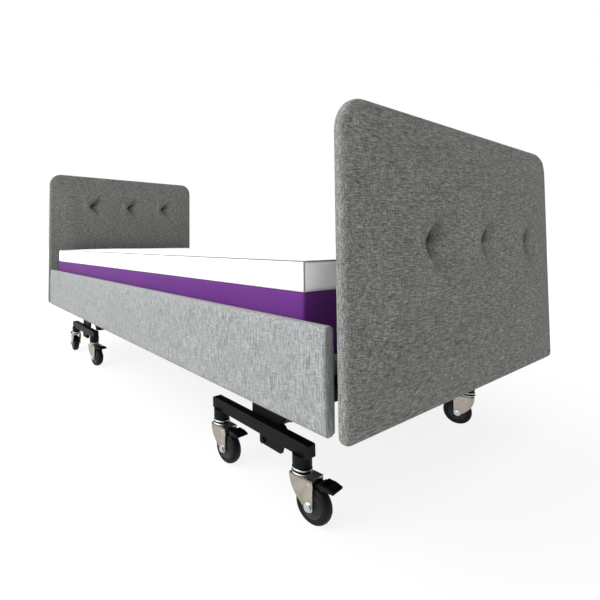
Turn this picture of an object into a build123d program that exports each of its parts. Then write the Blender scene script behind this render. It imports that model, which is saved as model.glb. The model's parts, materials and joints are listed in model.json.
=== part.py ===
"""Adjustable hospital bed: padded boards and rails around a deck carried by two scissor-arm lift bases.

+X points to the foot end, +Y to the bed's far side, +Z up; the floor is Z = 0. All sizes in millimetres.
"""

import os
from math import atan2, cos, degrees, hypot, radians, sin, tan

from build123d import *

os.makedirs("parts", exist_ok=True)

# Side rails and padded end boards
RAIL_LENGTH = 2080
RAIL_OUTER_Y = 488
RAIL_THICKNESS = 30
RAIL_BOTTOM = 252
RAIL_TOP = 450
RAIL_EDGE_RADIUS = 8
BOARD_WIDTH = 970
BOARD_THICKNESS = 42
BOARD_INNER_X = 1060
BOARD_BOTTOM = 251
FOOTBOARD_TOP = 866
HEADBOARD_TOP = 1024
BOARD_CORNER_RADIUS = 66
BOARD_LOWER_RADIUS = 14
BOARD_EDGE_RADIUS = 14
TUFT_PITCH = 245
FOOTBOARD_TUFT_Z = 597
HEADBOARD_TUFT_Z = 837
TUFT_FLOOR_RADIUS = 6
TUFT_RADIUS = 42
TUFT_DEPTH = 18

# Mattress
MATTRESS_HEAD_X = -985
MATTRESS_FOOT_X = 957
MATTRESS_HALF_WIDTH = 450
MATTRESS_BOTTOM = 365
MATTRESS_LAYER_Z = 500
MATTRESS_TOP = 565
MATTRESS_GAP = 0.5

# Platform hinges: back, thigh and calf sections turn about lines across the bed at this height
HINGE_Z = 345
BACK_HINGE_X = -230
THIGH_HINGE_X = -30
CALF_HINGE_X = 330
BACK_ANGLE = 60
THIGH_ANGLE = 30
HINGE_PIN_RADIUS = 6
HINGE_BORE_RADIUS = 6.05
HINGE_EAR_RADIUS = 11
SECTION_BOTTOM = 335
PANEL_BOTTOM = 362.5
PANEL_TOP = 364.5
PANEL_HALF_WIDTH = 440
SECTION_TUBE = 20
SECTION_TUBE_Y = 390
HINGE_EAR_Y = (416, 424)
HINGE_LUGS_Y = ((409, 415), (425, 431))

# Main frame under the platform
FRAME_BOTTOM = 290
FRAME_TOP = 330
FRAME_TUBE = 40
FRAME_TUBE_Y = 430
FRAME_HALF_LENGTH = 1000
FRAME_WALL = 2
CROSS_WIDTH = 30
CROSS_WALL = 3
FRAME_CROSS_X = (-985, -708, -340, -140, 80, 230, 430, 735, 985)

# Lift: each end has a pair of arms, held level by half-length links (straight-line linkage)
ARM_LENGTH = 560
ARM_RISE = 112
PIVOT_Z = 150
SLIDE_Z = PIVOT_Z + ARM_RISE
ARM_RUN = (ARM_LENGTH**2 - ARM_RISE**2) ** 0.5
FOOT_PIVOT_X = 735
HEAD_PIVOT_X = -708
ARM_Y = 300
ARM_WIDTH = 20
ARM_HEIGHT = 40
LINK_Y = 277
LINK_WIDTH = 10
LINK_HEIGHT = 30
PIVOT_PIN_RADIUS = 8
PIVOT_BORE_RADIUS = 8.1
TORSION_TUBE_RADIUS = 20
TORSION_TUBE_AT = 120
SHOE_RADIUS = 15
SHOE_OUTER_Y = 328
CHANNEL_INNER_Y = 311.5
CHANNEL_OUTER_Y = 334
CHANNEL_GAP = 31.5
CHANNEL_HEIGHT = 40
CHANNEL_BACK = 3
FOOT_CHANNEL = (160, 452)
HEAD_CHANNEL = (-425, -133)

# Lift actuators
LIFT_ROD_Y = 245
LIFT_ROD_RADIUS = 10
LIFT_ROD_BORE = 10.1
LIFT_STUB_RADIUS = 10
LIFT_EYE_RADIUS = 18
LIFT_EYE_WIDTH = 24
LIFT_HOUSING_RADIUS = 25

# Lift bases
BASE_HALF_LENGTH = 182
BEAM_Y = 385
BEAM_WIDTH = 25
BEAM_BOTTOM = 135
BEAM_TOP = 165
HOUSING_RADIUS = 22
HOUSING_BOTTOM = 115
STEM_BORE_TOP = 145
TOWER_INNER_Y = 362.5
BASE_TUBE_OUT = (24, 60)
BASE_TUBE_BOTTOM = 190
BASE_TUBE_TOP = 226
BRACKET_BOLT_Z = 106

# Castors: name, stem X, stem Y, and the heading in degrees the wheel trails towards
CASTORS = (
    ("1", 882, -BEAM_Y, 8),
    ("2", 572, -BEAM_Y, 3),
    ("3", 882, BEAM_Y, -156),
    ("4", 572, BEAM_Y, 15),
    ("5", -545, -BEAM_Y, 10),
    ("6", -855, -BEAM_Y, 174),
    ("7", -545, BEAM_Y, 20),
    ("8", -855, BEAM_Y, 165),
)
WHEEL_RADIUS = 42
WHEEL_WIDTH = 30
WHEEL_EDGE_RADIUS = 8
HUB_RECESS_RADIUS = 27
HUB_RECESS_DEPTH = 2.5
HUB_BOSS_RADIUS = 11
WHEEL_TRAIL = 30
AXLE_RADIUS = 5
AXLE_BORE_RADIUS = 5.05
AXLE_NUT_RADIUS = 9
AXLE_NUT_THICKNESS = 6
FORK_PLATE = 3
FORK_PLATE_Y = 20
FORK_FRONT = -20
FORK_BACK = 40
CROWN_BOTTOM = 94
CROWN_TOP = 98
COLLAR_RINGS = ((24, 98, 102), (19, 102, 106), (23, 106, 110), (18, 110, 114))
STEM_RADIUS = 6
STEM_BORE_RADIUS = 6.05
STEM_BOTTOM = 114
STEM_TOP = 143
PEDAL_PIVOT_U = 32
PEDAL_PIVOT_Z = 89.2
PEDAL_HUB_RADIUS = 4.2
PEDAL_PIN_RADIUS = 3
PEDAL_BORE_RADIUS = 3.05
PEDAL_WIDTH = 28
TREAD_START = 54
TREAD_END = 90
TREAD_WIDTH = 38
TREAD_BOTTOM = 89

# Platform actuators
LEVER_LENGTH = 100
BACK_LEVER_Y = -60
BACK_LEVER_REST = 35
KNEE_LEVER_Y = 110
KNEE_LEVER_REST = -15
LEVER_PLATE = 8
LEVER_GAP = 20
LEVER_PIN_RADIUS = 7
YOKE_WIDTH = 16
BACK_SLOT_HALF = 8.3
BACK_SLOT_OFFSET = 0.75
KNEE_SLOT_HALF = 7.4
PLATFORM_ROD_RADIUS = 9
PLATFORM_ROD_BORE = 9.1
PLATFORM_HOUSING_RADIUS = 22


def save(part, label):
    """Label one finished piece and write its file."""
    part.label = label
    export_step(part, f"parts/{label}.step")


def box(x0, x1, y0, y1, z0, z1, mode=Mode.ADD):
    """Add (or cut) a block between the given limits in the open part."""
    with BuildSketch(Plane.XY.offset(z0)) as outline:
        with Locations(((x0 + x1) / 2, (y0 + y1) / 2)):
            Rectangle(x1 - x0, y1 - y0)
    extrude(outline.sketch, amount=z1 - z0, mode=mode)


def side_disc(x, z, y0, y1, radius, mode=Mode.ADD):
    """Add (or cut) a round bar lying across the bed, between Y limits."""
    with BuildSketch(Plane.XZ.offset(-(y0 + y1) / 2)) as outline:
        with Locations((x, z)):
            Circle(radius)
    extrude(outline.sketch, amount=abs(y1 - y0) / 2, both=True, mode=mode)


def side_bar(x0, z0, x1, z1, y0, y1, height):
    """Add a flat bar with round ends from one pivot to another, between Y limits."""
    length = hypot(x1 - x0, z1 - z0)
    with BuildSketch(Plane.XZ.offset(-(y0 + y1) / 2)) as outline:
        with Locations(Location(((x0 + x1) / 2, (z0 + z1) / 2), degrees(atan2(z1 - z0, x1 - x0)))):
            SlotOverall(length + height, height)
    extrude(outline.sketch, amount=abs(y1 - y0) / 2, both=True)


def side_plate(points, y0, y1):
    """Add a plate of the given X-Z outline, between Y limits."""
    with BuildSketch(Plane.XZ.offset(-(y0 + y1) / 2)) as outline:
        with BuildLine():
            Polyline(*points, close=True)
        make_face()
    extrude(outline.sketch, amount=abs(y1 - y0) / 2, both=True)


def end_disc(x0, x1, y, z, radius, mode=Mode.ADD):
    """Add (or cut) a round bar lying along the bed, between X limits."""
    with BuildSketch(Plane.YZ.offset(x0)) as outline:
        with Locations((y, z)):
            Circle(radius)
    extrude(outline.sketch, amount=x1 - x0, mode=mode)


def both_sides(inner, outer):
    """Y limits of the same strip on the near and far side of the bed."""
    return ((-outer, -inner), (inner, outer))


# ---- Castors ----

def castor_side(x, y, heading, across):
    """Upright plane through a castor: local x runs along its trail, local y up."""
    trail = Vector(cos(radians(heading)), sin(radians(heading)), 0)
    square = Vector(-trail.Y, trail.X, 0)
    origin = Vector(x, y, 0) + square * across
    return Plane(origin=origin, x_dir=trail, z_dir=-square)


def castor_level(x, y, heading, height):
    """Level plane at a castor: local x runs along its trail."""
    trail = Vector(cos(radians(heading)), sin(radians(heading)), 0)
    return Plane(origin=Vector(x, y, height), x_dir=trail, z_dir=Vector(0, 0, 1))


PEDAL_OUTLINE = (
    (32, 86),
    (58, 86),
    (70, 88),
    (90, 89),
    (90, 94),
    (74, 98),
    (56, 98),
    (50, 95),
    (49, 92.5),
    (32, 92.5),
)

for name, stem_x, stem_y, heading in CASTORS:
    with BuildPart() as fork:
        for across in (-FORK_PLATE_Y, FORK_PLATE_Y):
            with BuildSketch(castor_side(stem_x, stem_y, heading, across)):
                with BuildLine():
                    Line((FORK_FRONT, 92), (FORK_FRONT, CROWN_TOP))
                    Line((FORK_FRONT, CROWN_TOP), (FORK_BACK, CROWN_TOP))
                    Line((FORK_BACK, CROWN_TOP), (FORK_BACK, 40))
                    ThreePointArc((FORK_BACK, 40), (31, 31), (20, 35))
                    ThreePointArc((20, 35), (-10, 64), (FORK_FRONT, 92))
                make_face()
            extrude(amount=FORK_PLATE / 2, both=True)
        with BuildSketch(castor_level(stem_x, stem_y, heading, CROWN_BOTTOM)):
            with Locations(((FORK_FRONT + FORK_BACK) / 2, 0)):
                Rectangle(FORK_BACK - FORK_FRONT, 2 * FORK_PLATE_Y + FORK_PLATE)
        extrude(amount=CROWN_TOP - CROWN_BOTTOM)
        for radius, bottom, top in COLLAR_RINGS:
            with BuildSketch(castor_level(stem_x, stem_y, heading, bottom)):
                Circle(radius)
            extrude(amount=top - bottom)
        with BuildSketch(castor_level(stem_x, stem_y, heading, STEM_BOTTOM)):
            Circle(STEM_RADIUS)
        extrude(amount=STEM_TOP - STEM_BOTTOM)
        with BuildSketch(castor_side(stem_x, stem_y, heading, 0)):
            with Locations((WHEEL_TRAIL, WHEEL_RADIUS)):
                Circle(AXLE_RADIUS)
            with Locations((PEDAL_PIVOT_U, PEDAL_PIVOT_Z)):
                Circle(PEDAL_PIN_RADIUS)
        extrude(amount=FORK_PLATE_Y + 3, both=True)
        nut_across = FORK_PLATE_Y + FORK_PLATE / 2 + AXLE_NUT_THICKNESS / 2
        for across in (-nut_across, nut_across):
            with BuildSketch(castor_side(stem_x, stem_y, heading, across)):
                with Locations((WHEEL_TRAIL, WHEEL_RADIUS)):
                    RegularPolygon(AXLE_NUT_RADIUS, 6)
            extrude(amount=AXLE_NUT_THICKNESS / 2, both=True)
    save(fork.part, f"castor_fork_{name}")

    with BuildPart() as wheel:
        with BuildSketch(castor_side(stem_x, stem_y, heading, 0)):
            with Locations((WHEEL_TRAIL, WHEEL_RADIUS)):
                Circle(WHEEL_RADIUS)
        extrude(amount=WHEEL_WIDTH / 2, both=True)
        fillet(wheel.edges().filter_by(GeomType.CIRCLE), radius=WHEEL_EDGE_RADIUS)
        for across in (-WHEEL_WIDTH / 2, WHEEL_WIDTH / 2):
            with BuildSketch(castor_side(stem_x, stem_y, heading, across)):
                with Locations((WHEEL_TRAIL, WHEEL_RADIUS)):
                    Circle(HUB_RECESS_RADIUS)
                    Circle(HUB_BOSS_RADIUS, mode=Mode.SUBTRACT)
            extrude(amount=HUB_RECESS_DEPTH, both=True, mode=Mode.SUBTRACT)
        with BuildSketch(castor_side(stem_x, stem_y, heading, 0)):
            with Locations((WHEEL_TRAIL, WHEEL_RADIUS)):
                Circle(AXLE_BORE_RADIUS)
        extrude(amount=WHEEL_WIDTH, both=True, mode=Mode.SUBTRACT)
    save(wheel.part, f"castor_wheel_{name}")

    with BuildPart() as pedal:
        with BuildSketch(castor_side(stem_x, stem_y, heading, 0)):
            with BuildLine():
                Polyline(*PEDAL_OUTLINE, close=True)
            make_face()
            with Locations((PEDAL_PIVOT_U, PEDAL_PIVOT_Z)):
                Circle(PEDAL_HUB_RADIUS)
                Circle(PEDAL_BORE_RADIUS, mode=Mode.SUBTRACT)
        extrude(amount=PEDAL_WIDTH / 2, both=True)
        with BuildSketch(castor_level(stem_x, stem_y, heading, TREAD_BOTTOM)):
            with Locations(((TREAD_START + TREAD_END) / 2, 0)):
                RectangleRounded(TREAD_END - TREAD_START, TREAD_WIDTH, 5)
        extrude(amount=5)
    save(pedal.part, f"castor_pedal_{name}")


# ---- Lift bases ----

# Outlines are given from the lift pivot, with x growing towards that end of the bed
TOWER_OUTLINE = (
    (-6, 97),
    (63, 97),
    (70, 118),
    (99, 137),
    (72, 165),
    (62, 165),
    (62, 238),
    (-42, 238),
    (-42, 165),
    (-20, 137),
    (-13, 137),
    (-13, 104),
)
BASE_LUG_OUTLINE = ((-11, 132), (13, 132), (60, 188), (60, 200), (24, 200), (-16, 164), (-20, 150))
BASE_LUGS_Y = ((281, 288), (312, 319))


def placed(points, pivot_x, out):
    """Outline points measured from a pivot, turned to face the foot end (out 1) or head end (out -1)."""
    return [(pivot_x + out * x, z) for x, z in points]


def build_base(end, middle, pivot_x, out):
    """The two bogie beams with towers, and the cross frame, of one lift base."""
    stems = [(x, y) for _, x, y, _ in CASTORS if x * out > 0]
    with BuildPart() as bogie:
        for y0, y1 in both_sides(BEAM_Y - BEAM_WIDTH / 2, BEAM_Y + BEAM_WIDTH / 2):
            box(middle - BASE_HALF_LENGTH, middle + BASE_HALF_LENGTH, y0, y1, BEAM_BOTTOM, BEAM_TOP)
        fillet(bogie.edges().filter_by(Axis.Y), radius=4)
        with BuildSketch(Plane.XY.offset(HOUSING_BOTTOM)):
            with Locations(*stems):
                Circle(HOUSING_RADIUS)
        extrude(amount=BEAM_BOTTOM - HOUSING_BOTTOM + 2)
        for y0, y1 in both_sides(TOWER_INNER_Y, BEAM_Y - BEAM_WIDTH / 2):
            side_plate(placed(TOWER_OUTLINE, pivot_x, out), y0, y1)
        for y0, y1 in both_sides(BEAM_Y - BEAM_WIDTH / 2, BEAM_Y - BEAM_WIDTH / 2 + 5):
            side_disc(pivot_x, BRACKET_BOLT_Z, y0, y1, 7)
        with BuildSketch(Plane.XY.offset(HOUSING_BOTTOM)):
            with Locations(*stems):
                Circle(STEM_BORE_RADIUS)
        extrude(amount=STEM_BORE_TOP - HOUSING_BOTTOM, mode=Mode.SUBTRACT)
    save(bogie.part, f"{end}_bogie_beams")

    tube = sorted(pivot_x + out * reach for reach in BASE_TUBE_OUT)
    with BuildPart() as cross:
        box(*tube, -TOWER_INNER_Y, TOWER_INNER_Y, BASE_TUBE_BOTTOM, BASE_TUBE_TOP)
        box(
            tube[0] + CROSS_WALL,
            tube[1] - CROSS_WALL,
            -TOWER_INNER_Y + CROSS_WALL,
            TOWER_INNER_Y - CROSS_WALL,
            BASE_TUBE_BOTTOM,
            BASE_TUBE_TOP - CROSS_WALL,
            mode=Mode.SUBTRACT,
        )
        for inner, outer in BASE_LUGS_Y:
            for y0, y1 in both_sides(inner, outer):
                side_plate(placed(BASE_LUG_OUTLINE, pivot_x, out), y0, y1)
        for y0, y1 in both_sides(BASE_LUGS_Y[0][0], BASE_LUGS_Y[1][1]):
            side_disc(pivot_x, PIVOT_Z, y0, y1, PIVOT_PIN_RADIUS)
    save(cross.part, f"{end}_cross_frame")


build_base("foot", 728, FOOT_PIVOT_X, 1)
build_base("head", -700, HEAD_PIVOT_X, -1)


# ---- Lift arms, links and actuators ----

def build_lift(end, pivot_x, out, rod_side, rod_tail):
    """Arms, half links and actuator rod of one end; the arms lean inwards from the base pivots."""
    slide_x = pivot_x - out * ARM_RUN
    middle_x = (pivot_x + slide_x) / 2
    middle_z = (PIVOT_Z + SLIDE_Z) / 2
    share = TORSION_TUBE_AT / ARM_LENGTH
    with BuildPart() as arms:
        for y0, y1 in both_sides(ARM_Y - ARM_WIDTH / 2, ARM_Y + ARM_WIDTH / 2):
            side_bar(pivot_x, PIVOT_Z, slide_x, SLIDE_Z, y0, y1, ARM_HEIGHT)
        arm_inner_y = ARM_Y - ARM_WIDTH / 2
        side_disc(
            pivot_x - out * ARM_RUN * share,
            PIVOT_Z + ARM_RISE * share,
            -arm_inner_y - 2,
            arm_inner_y + 2,
            TORSION_TUBE_RADIUS,
        )
        for y0, y1 in both_sides(LINK_Y - 9, arm_inner_y + 2):
            side_disc(middle_x, middle_z, y0, y1, PIVOT_PIN_RADIUS)
        for y0, y1 in both_sides(LINK_Y - 9, LINK_Y - 6):
            side_disc(middle_x, middle_z, y0, y1, PIVOT_PIN_RADIUS + 5)
        for y0, y1 in both_sides(ARM_Y, SHOE_OUTER_Y):
            side_disc(slide_x, SLIDE_Z, y0, y1, PIVOT_PIN_RADIUS)
        for y0, y1 in both_sides(CHANNEL_INNER_Y + 0.5, SHOE_OUTER_Y):
            side_disc(slide_x, SLIDE_Z, y0, y1, SHOE_RADIUS)
        stub_end = LIFT_ROD_Y - LIFT_EYE_WIDTH / 2 - 4
        stub = sorted((rod_side * stub_end, rod_side * (arm_inner_y + 2)))
        side_disc(slide_x, SLIDE_Z, *stub, LIFT_STUB_RADIUS)
        collar = sorted((rod_side * stub_end, rod_side * (stub_end + 3.5)))
        side_disc(slide_x, SLIDE_Z, *collar, LIFT_STUB_RADIUS + 4)
        for y0, y1 in both_sides(arm_inner_y - 1, ARM_Y + ARM_WIDTH / 2 + 1):
            side_disc(pivot_x, PIVOT_Z, y0, y1, PIVOT_BORE_RADIUS, mode=Mode.SUBTRACT)
    save(arms.part, f"{end}_lift_arms")

    with BuildPart() as links:
        for y0, y1 in both_sides(LINK_Y - LINK_WIDTH / 2, LINK_Y + LINK_WIDTH / 2):
            side_bar(middle_x, middle_z, pivot_x, SLIDE_Z, y0, y1, LINK_HEIGHT)
            side_disc(middle_x, middle_z, y0 - 1, y1 + 1, PIVOT_BORE_RADIUS, mode=Mode.SUBTRACT)
            side_disc(pivot_x, SLIDE_Z, y0 - 1, y1 + 1, PIVOT_BORE_RADIUS, mode=Mode.SUBTRACT)
    save(links.part, f"{end}_half_links")

    rod_y = rod_side * LIFT_ROD_Y
    eye = (rod_y - LIFT_EYE_WIDTH / 2, rod_y + LIFT_EYE_WIDTH / 2)
    with BuildPart() as rod:
        end_disc(min(slide_x, rod_tail), max(slide_x, rod_tail), rod_y, SLIDE_Z, LIFT_ROD_RADIUS)
        side_disc(slide_x, SLIDE_Z, *eye, LIFT_EYE_RADIUS)
        side_disc(slide_x, SLIDE_Z, eye[0] - 1, eye[1] + 1, LIFT_ROD_BORE, mode=Mode.SUBTRACT)
    save(rod.part, f"{end}_lift_rod")


build_lift("foot", FOOT_PIVOT_X, 1, -1, -130)
build_lift("head", HEAD_PIVOT_X, -1, 1, 180)


def build_lift_housing(end, mouth_x, tail_x, rod_side, hangers):
    """Fixed housing and motor of a lift actuator, hung from the frame cross members."""
    rod_y = rod_side * LIFT_ROD_Y
    inward = 1 if tail_x > mouth_x else -1
    near, far = sorted((mouth_x, tail_x))
    motor = sorted((tail_x, tail_x - inward * 60))
    bore = sorted((mouth_x - inward, tail_x - inward * 12))
    with BuildPart() as housing:
        end_disc(near, far, rod_y, SLIDE_Z, LIFT_HOUSING_RADIUS)
        box(*motor, rod_y - 27, rod_y + 27, 196, SLIDE_Z + 20)
        fillet(housing.edges().filter_by(Axis.X).group_by(Axis.Z)[0], radius=12)
        for x in hangers:
            half = CROSS_WIDTH / 2
            box(x - half, x + half, rod_y - 12, rod_y + 12, SLIDE_Z + 16, FRAME_BOTTOM)
        end_disc(*bore, rod_y, SLIDE_Z, LIFT_ROD_BORE, mode=Mode.SUBTRACT)
    save(housing.part, f"{end}_lift_actuator")


build_lift_housing("foot", 150, -155, -1, (-140, 80))
build_lift_housing("head", -120, 245, 1, (80, 230))


# ---- Platform actuators ----

def lever_tip(hinge_x, rest):
    """Where a lever hanging from a platform hinge ends at rest."""
    return hinge_x + LEVER_LENGTH * sin(radians(rest)), HINGE_Z - LEVER_LENGTH * cos(radians(rest))


BACK_TIP = lever_tip(BACK_HINGE_X, BACK_LEVER_REST)
KNEE_TIP = lever_tip(THIGH_HINGE_X, KNEE_LEVER_REST)


def build_yoke_rod(label, tip_x, slot_half, slot_z, y, axis_z, tail_x):
    """Push rod with an upright slot in its head for the lever pin."""
    head_z = (slot_z[0] - 10, slot_z[1] + 10)
    near, far = sorted((tip_x, tail_x))
    with BuildPart() as rod:
        end_disc(near, far, y, axis_z, PLATFORM_ROD_RADIUS)
        box(tip_x - 20, tip_x + 20, y - YOKE_WIDTH / 2, y + YOKE_WIDTH / 2, *head_z)
        box(
            tip_x - slot_half,
            tip_x + slot_half,
            y - YOKE_WIDTH,
            y + YOKE_WIDTH,
            *slot_z,
            mode=Mode.SUBTRACT,
        )
    save(rod.part, label)


build_yoke_rod(
    "back_rod", BACK_TIP[0] + BACK_SLOT_OFFSET, BACK_SLOT_HALF, (237, 271.5), BACK_LEVER_Y, 254, 200
)
build_yoke_rod("knee_rod", KNEE_TIP[0], KNEE_SLOT_HALF, (237, 256.5), KNEE_LEVER_Y, 247, -300)


def build_platform_housing(label, mouth_x, tail_x, y, axis_z, hangers):
    """Fixed housing and motor of a platform actuator, hung from the frame cross members."""
    inward = 1 if tail_x > mouth_x else -1
    near, far = sorted((mouth_x, tail_x))
    motor = sorted((tail_x, tail_x - inward * 56))
    bore = sorted((mouth_x - inward, tail_x - inward * 12))
    with BuildPart() as housing:
        end_disc(near, far, y, axis_z, PLATFORM_HOUSING_RADIUS)
        box(*motor, y - 25, y + 25, 192, axis_z + 15)
        fillet(housing.edges().filter_by(Axis.X).group_by(Axis.Z)[0], radius=12)
        for x in hangers:
            box(x - CROSS_WIDTH / 2, x + CROSS_WIDTH / 2, y - 11, y + 11, axis_z + 13, FRAME_BOTTOM)
        end_disc(*bore, y, axis_z, PLATFORM_ROD_BORE, mode=Mode.SUBTRACT)
    save(housing.part, label)


build_platform_housing("back_actuator", -60, 262, BACK_LEVER_Y, 254, (80, 230))
build_platform_housing("knee_actuator", -110, -415, KNEE_LEVER_Y, 247, (-340, -140))


# ---- Main frame ----

FRAME_LUG_OUTLINE = ((-18, 292), (18, 292), (18, 258), (9, 247), (-9, 247), (-18, 258))
FRAME_LUGS_Y = ((265, 270), (284, 289))
BRACKET_Y = 350
HANGER_X = (-340, -140, 230, 430)
PACKER_X = (-800, -240, 320, 830)

with BuildPart() as main_frame:
    for y0, y1 in both_sides(FRAME_TUBE_Y - FRAME_TUBE / 2, FRAME_TUBE_Y + FRAME_TUBE / 2):
        box(-FRAME_HALF_LENGTH, FRAME_HALF_LENGTH, y0, y1, FRAME_BOTTOM, FRAME_TOP)
        box(
            -FRAME_HALF_LENGTH,
            FRAME_HALF_LENGTH,
            y0 + FRAME_WALL,
            y1 - FRAME_WALL,
            FRAME_BOTTOM + FRAME_WALL,
            FRAME_TOP - FRAME_WALL,
            mode=Mode.SUBTRACT,
        )
    for x in (BACK_HINGE_X, THIGH_HINGE_X):
        for inner, outer in HINGE_LUGS_Y:
            for y0, y1 in both_sides(inner, outer):
                box(x - HINGE_EAR_RADIUS, x + HINGE_EAR_RADIUS, y0, y1, FRAME_TOP - 1, HINGE_Z)
                side_disc(x, HINGE_Z, y0, y1, HINGE_EAR_RADIUS)
        for y0, y1 in both_sides(HINGE_LUGS_Y[0][0], HINGE_LUGS_Y[1][1]):
            side_disc(x, HINGE_Z, y0, y1, HINGE_PIN_RADIUS)
    for x in PACKER_X:
        for y0, y1 in both_sides(FRAME_TUBE_Y + FRAME_TUBE / 2 - 1, RAIL_OUTER_Y - RAIL_THICKNESS):
            box(x - 25, x + 25, y0, y1, FRAME_BOTTOM + 5, FRAME_TOP - 5)
save(main_frame.part, "main_frame")

inner_y = FRAME_TUBE_Y - FRAME_TUBE / 2
with BuildPart() as cross_members:
    for x in FRAME_CROSS_X:
        box(x - CROSS_WIDTH / 2, x + CROSS_WIDTH / 2, -inner_y, inner_y, FRAME_BOTTOM, FRAME_TOP)
        box(
            x - CROSS_WIDTH / 2 + CROSS_WALL,
            x + CROSS_WIDTH / 2 - CROSS_WALL,
            -inner_y + CROSS_WALL,
            inner_y - CROSS_WALL,
            FRAME_BOTTOM,
            FRAME_TOP - CROSS_WALL,
            mode=Mode.SUBTRACT,
        )
    for pivot_x in (FOOT_PIVOT_X, HEAD_PIVOT_X):
        for inner, outer in FRAME_LUGS_Y:
            for y0, y1 in both_sides(inner, outer):
                side_plate(placed(FRAME_LUG_OUTLINE, pivot_x, 1), y0, y1)
        for y0, y1 in both_sides(FRAME_LUGS_Y[0][0], FRAME_LUGS_Y[1][1]):
            side_disc(pivot_x, SLIDE_Z, y0, y1, PIVOT_PIN_RADIUS)
    for x0, x1 in (FOOT_CHANNEL, HEAD_CHANNEL):
        for y0, y1 in both_sides(CHANNEL_INNER_Y, CHANNEL_OUTER_Y):
            box(x0, x1, y0, y1, SLIDE_Z - CHANNEL_HEIGHT / 2, SLIDE_Z + CHANNEL_HEIGHT / 2)
        for y0, y1 in both_sides(CHANNEL_INNER_Y - 1, CHANNEL_OUTER_Y - CHANNEL_BACK):
            box(
                x0 - 1,
                x1 + 1,
                y0,
                y1,
                SLIDE_Z - CHANNEL_GAP / 2,
                SLIDE_Z + CHANNEL_GAP / 2,
                mode=Mode.SUBTRACT,
            )
    hanger_bottom = SLIDE_Z + CHANNEL_HEIGHT / 2 - 1
    for x in HANGER_X:
        for y0, y1 in both_sides(CHANNEL_INNER_Y, CHANNEL_OUTER_Y):
            box(x - CROSS_WIDTH / 2, x + CROSS_WIDTH / 2, y0, y1, hanger_bottom, FRAME_BOTTOM + 1)
    for y0, y1 in both_sides(BRACKET_Y - 15, BRACKET_Y + 15):
        box(FRAME_HALF_LENGTH - 1, BOARD_INNER_X, y0, y1, FRAME_BOTTOM, FRAME_TOP)
        box(-BOARD_INNER_X, -FRAME_HALF_LENGTH + 1, y0, y1, FRAME_BOTTOM, FRAME_TOP)
save(cross_members.part, "frame_cross_members")

with BuildPart() as control_box:
    box(560, 735, -120, 120, 244, FRAME_BOTTOM)
    fillet(control_box.edges().filter_by(Axis.Z), radius=10)
    for y in (-75, -45, -15, 15):
        end_disc(550, 562, y, 266, 9)
    box(548, 562, 50, 98, 252, 280)
save(control_box.part, "control_box")


# ---- Platform sections ----

def platform(x0, x1, panel_x0, panel_x1, span):
    """Tube ladder with a steel panel on top, in the open part."""
    tube = SECTION_TUBE
    for x in (x0, x1 - tube):
        box(x, x + tube, -span, span, SECTION_BOTTOM, PANEL_BOTTOM + 0.5)
    for y0, y1 in both_sides(SECTION_TUBE_Y - tube / 2, SECTION_TUBE_Y + tube / 2):
        box(x0, x1, y0, y1, SECTION_BOTTOM, PANEL_BOTTOM + 0.5)
    box(panel_x0, panel_x1, -PANEL_HALF_WIDTH, PANEL_HALF_WIDTH, PANEL_BOTTOM, PANEL_TOP)


def hinge_ears(hinge_x, tube_x):
    """Ears from a section's end tube to its hinge line, with their bores."""
    for y0, y1 in both_sides(*HINGE_EAR_Y):
        box(min(hinge_x, tube_x), max(hinge_x, tube_x), y0, y1, HINGE_Z - 9, HINGE_Z + 9)
        side_disc(hinge_x, HINGE_Z, y0, y1, HINGE_EAR_RADIUS)
        side_disc(hinge_x, HINGE_Z, y0 - 1, y1 + 1, HINGE_BORE_RADIUS, mode=Mode.SUBTRACT)


def lever(hinge_x, tip, tube_x, y):
    """Pair of lever plates hanging under a hinge, with the pin that the push rod drives."""
    outer = LEVER_GAP / 2 + LEVER_PLATE
    for y0, y1 in ((y - outer, y - LEVER_GAP / 2), (y + LEVER_GAP / 2, y + outer)):
        side_bar(hinge_x, HINGE_Z, *tip, y0, y1, 28)
        box(min(hinge_x, tube_x), max(hinge_x, tube_x), y0, y1, HINGE_Z - 9, HINGE_Z + 12)
    side_disc(*tip, y - outer, y + outer, LEVER_PIN_RADIUS)


ear_span = HINGE_EAR_Y[1]
with BuildPart() as seat_section:
    for x in (-185, -95):
        box(x, x + SECTION_TUBE, -ear_span, ear_span, FRAME_TOP, PANEL_BOTTOM + 0.5)
    box(-208, -52, -PANEL_HALF_WIDTH, PANEL_HALF_WIDTH, PANEL_BOTTOM, PANEL_TOP)
save(seat_section.part, "seat_section")

with BuildPart() as back_section:
    platform(-1000, -245, -1000, -236, ear_span)
    hinge_ears(BACK_HINGE_X, -250)
    lever(BACK_HINGE_X, BACK_TIP, -250, BACK_LEVER_Y)
save(back_section.part, "back_section")

with BuildPart() as thigh_section:
    platform(-5, 315, -24, 322, ear_span)
    hinge_ears(THIGH_HINGE_X, 0)
    lever(THIGH_HINGE_X, KNEE_TIP, 0, KNEE_LEVER_Y)
    for inner, outer in HINGE_LUGS_Y:
        for y0, y1 in both_sides(inner, outer):
            box(297, CALF_HINGE_X, y0, y1, HINGE_Z - 9, HINGE_Z + 9)
            side_disc(CALF_HINGE_X, HINGE_Z, y0, y1, HINGE_EAR_RADIUS)
    for y0, y1 in both_sides(HINGE_EAR_Y[0] - 1, HINGE_LUGS_Y[1][1]):
        box(295, 315, y0, y1, SECTION_BOTTOM, PANEL_BOTTOM)
    for y0, y1 in both_sides(HINGE_LUGS_Y[0][0], HINGE_LUGS_Y[1][1]):
        side_disc(CALF_HINGE_X, HINGE_Z, y0, y1, HINGE_PIN_RADIUS)
save(thigh_section.part, "thigh_section")

with BuildPart() as calf_section:
    platform(350, 985, 340, 985, ear_span)
    hinge_ears(CALF_HINGE_X, 355)
save(calf_section.part, "calf_section")


# ---- Padded boards and rails ----

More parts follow.
